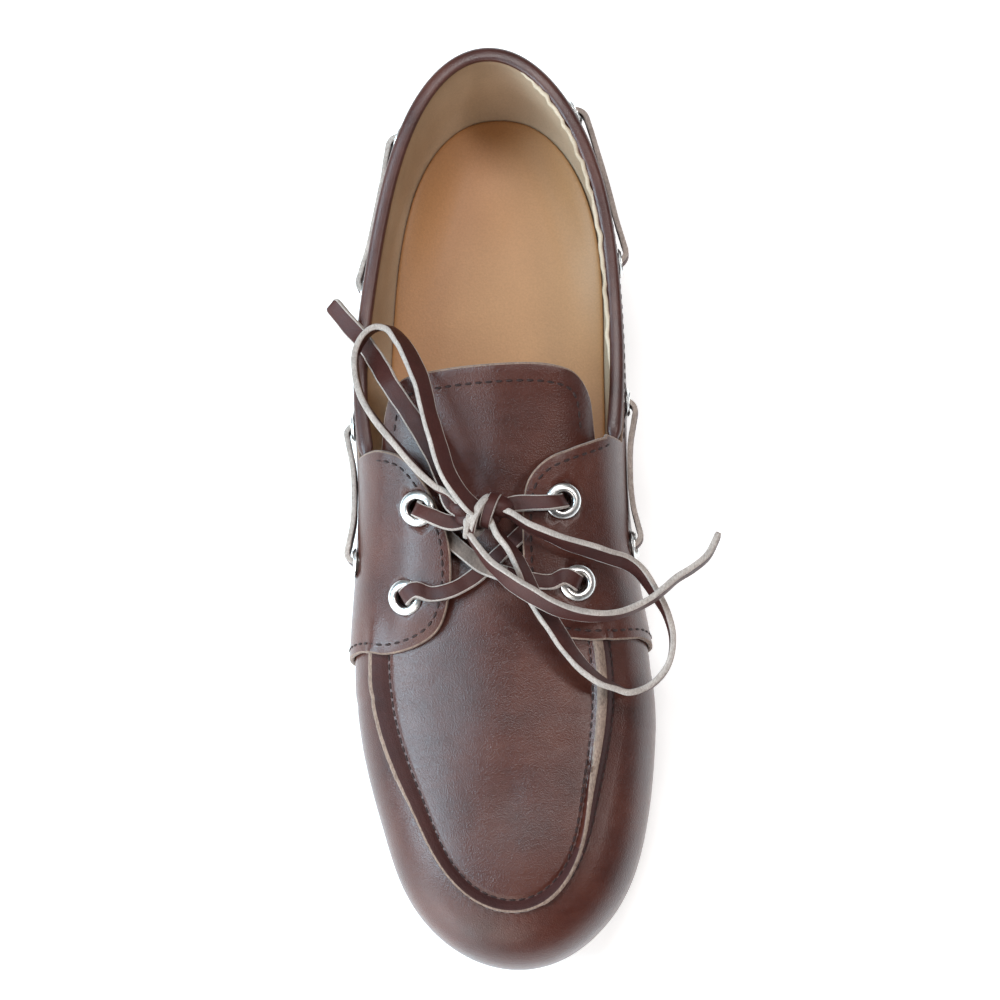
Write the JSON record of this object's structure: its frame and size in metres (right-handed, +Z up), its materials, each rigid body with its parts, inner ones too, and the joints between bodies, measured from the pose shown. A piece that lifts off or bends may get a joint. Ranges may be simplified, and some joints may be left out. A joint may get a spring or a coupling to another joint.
{
  "type": "boat shoe",
  "caption": "Low leather boat shoe for the right foot: moccasin toe seam, two wings laced over a tongue with a leather bow, side laces through eyelets, rolled collar and ribbed rubber sole.",
  "frame": {"origin": "on the ground under the middle of the shoe's box, measured without the free lace", "axes": "+Z up, +Y towards the heel, -Y towards the toe, +X towards the inner (medial) side of the right foot"},
  "size_m": [0.1113, 0.2598, 0.0758],
  "materials": {
    "upper_leather": "dark reddish-brown oiled leather, semi-gloss",
    "collar_leather": "soft rolled reddish-brown leather",
    "tongue_leather": "dark reddish-brown leather",
    "insole_leather": "matt tan leather",
    "sole_rubber": "matt dark brown moulded rubber",
    "eyelet_metal": "bright nickel-coloured metal",
    "lace_leather": "flat reddish-brown leather lace, satin",
    "lining_leather": "smooth beige lining leather",
    "thread": "waxed dark brown thread"
  },
  "bodies": {
    "root": {"outsole": "sole_rubber", "insole": "insole_leather", "upper": "upper_leather", "quarter_lateral": "upper_leather", "quarter_medial": "upper_leather", "collar_roll": "collar_leather", "tongue": "tongue_leather", "eyelet_front_lateral_upper": "eyelet_metal", "eyelet_front_lateral_lower": "eyelet_metal", "eyelet_front_medial_upper": "eyelet_metal", "eyelet_front_medial_lower": "eyelet_metal", "eyelet_side_lateral_front_1": "eyelet_metal", "eyelet_side_lateral_front_2": "eyelet_metal", "eyelet_side_lateral_rear_1": "eyelet_metal", "eyelet_side_lateral_rear_2": "eyelet_metal", "eyelet_side_medial_front_1": "eyelet_metal", "eyelet_side_medial_front_2": "eyelet_metal", "eyelet_side_medial_rear_1": "eyelet_metal", "eyelet_side_medial_rear_2": "eyelet_metal", "side_lace_lateral_front": "lace_leather", "side_lace_lateral_rear": "lace_leather", "side_lace_medial_front": "lace_leather", "side_lace_medial_rear": "lace_leather", "lace_crossing": "lace_leather", "lace_knot": "lace_leather", "lace_loop_lateral": "lace_leather", "lace_loop_medial": "lace_leather", "lace_end_lateral": "lace_leather", "lace_end_medial": "lace_leather"}
  },
  "joints": []
}
